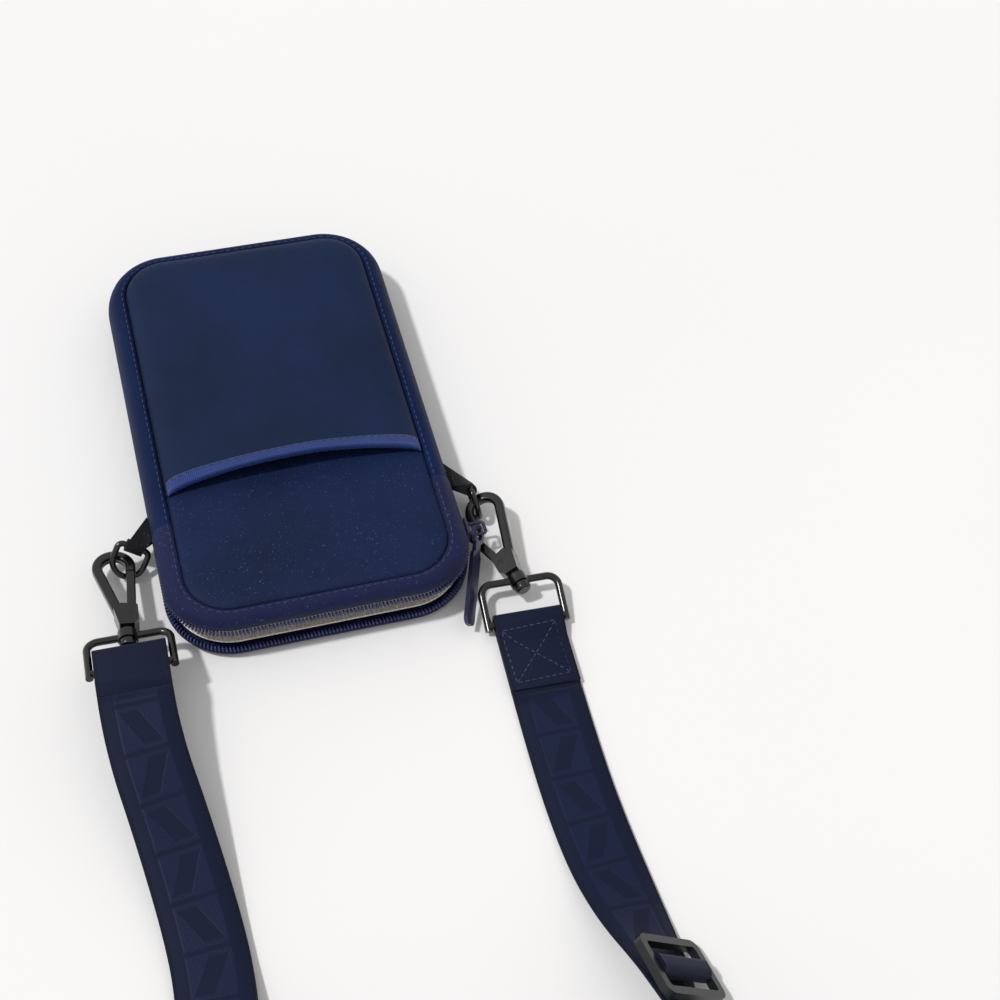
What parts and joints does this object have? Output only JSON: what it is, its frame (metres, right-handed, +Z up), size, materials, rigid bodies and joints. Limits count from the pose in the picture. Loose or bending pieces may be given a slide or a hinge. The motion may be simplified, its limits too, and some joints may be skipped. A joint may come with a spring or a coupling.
{
  "type": "phone pouch with strap",
  "caption": "Zipped soft pouch for a phone with a slip pocket on its front, side D-rings, swivel hooks and an adjustable webbing shoulder strap.",
  "frame": {"origin": "middle of the pouch's flat back, on the surface that it rests on", "axes": "+Z up out of the front face, +Y to the closed end, -Y to the zipped mouth and the strap, +X to the side with the zip slider"},
  "size_m": [0.1756, 0.4703, 0.0268],
  "materials": {
    "neoprene": "smooth navy neoprene knit face",
    "zip_tape": "navy neoprene rim and woven zip tape",
    "zip_coil": "navy nylon coil",
    "lining": "cream lining cloth",
    "binding": "ribbed royal blue ribbon",
    "tab_webbing": "black woven tape",
    "zip_metal": "navy lacquer",
    "black_metal": "glossy black plating",
    "adjuster_metal": "dark grey satin",
    "webbing": "navy webbing with a tone-on-tone woven pattern"
  },
  "bodies": {
    "pouch": {"back_panel": "neoprene", "front_panel": "neoprene", "gusset": "neoprene", "back_zip_tape": "zip_tape", "back_zip_coil": "zip_coil", "back_lining": "lining", "front_lining": "lining", "pocket_panel": "neoprene", "pocket_binding": "binding", "zip_stops": "zip_metal", "left_tab": "tab_webbing", "right_tab": "tab_webbing", "left_loop": "black_metal", "right_loop": "black_metal", "strap_right_fold": "webbing", "strap_left_fold": "webbing", "strap_single_run": "webbing", "strap_outer_layer": "webbing", "strap_inner_layer": "webbing", "strap_adjuster_run": "webbing", "adjuster": "adjuster_metal"},
    "mouth_flap": {"mouth_panel": "neoprene", "front_zip_tape": "zip_tape", "front_zip_coil": "zip_coil", "mouth_lining": "lining"},
    "zip_slider": {"zip_slider": "zip_metal"},
    "zip_pull": {"zip_pull": "zip_metal"},
    "left_d_ring": {"left_d_ring": "black_metal"},
    "left_hook": {"left_hook": "black_metal", "left_gate_pin": "black_metal"},
    "left_gate": {"left_gate": "black_metal"},
    "right_d_ring": {"right_d_ring": "black_metal"},
    "right_hook": {"right_hook": "black_metal", "right_gate_pin": "black_metal"},
    "right_gate": {"right_gate": "black_metal"}
  },
  "joints": [
    {"name": "mouth_open", "type": "hinge", "parent": "pouch", "child": "mouth_flap", "pos_m": [0, -0.04315, 0.022], "axis": [-1, 0, 0], "range_deg": [-2.5, 30]},
    {"name": "zip_slide", "type": "hinge", "parent": "pouch", "child": "zip_slider", "pos_m": [0.031, -0.067, 0.0104], "axis": [0, 0, -1], "range_deg": [0, 28]},
    {"name": "zip_pull_swing", "type": "hinge", "parent": "zip_slider", "child": "zip_pull", "pos_m": [0.0597, -0.065, 0.0107], "axis": [-0.9408, 0.3389, 0], "range_deg": [0, 70]},
    {"name": "left_ring_swing", "type": "hinge", "parent": "pouch", "child": "left_d_ring", "pos_m": [-0.0614, -0.0425, 0.0105], "axis": [0.8452, -0.3391, -0.4131], "range_deg": [-4, 0]},
    {"name": "left_hook_swivel", "type": "hinge", "parent": "pouch", "child": "left_hook", "pos_m": [-0.069, -0.0796, 0.0113], "axis": [0.079, 0.9871, -0.139], "range_deg": [-3, 1]},
    {"name": "left_gate_press", "type": "hinge", "parent": "left_hook", "child": "left_gate", "pos_m": [-0.06653, -0.07128, 0.00995], "axis": [0.0956, 0.1313, 0.9867], "range_deg": [0, 16], "stiffness_Nm_per_rad": 0.002},
    {"name": "right_ring_swing", "type": "hinge", "parent": "pouch", "child": "right_d_ring", "pos_m": [0.0623, -0.044, 0.01042], "axis": [-0.078, -0.7159, 0.6939], "range_deg": [0, 8]},
    {"name": "right_hook_swivel", "type": "hinge", "parent": "pouch", "child": "right_hook", "pos_m": [0.0695, -0.0855, 0.0074], "axis": [-0.2079, 0.9777, -0.03], "range_deg": [-3, 2]},
    {"name": "right_gate_press", "type": "hinge", "parent": "right_hook", "child": "right_gate", "pos_m": [0.06611, -0.07745, 0.0064], "axis": [0.4075, 0.0587, -0.9113], "range_deg": [0, 28], "stiffness_Nm_per_rad": 0.002}
  ]
}
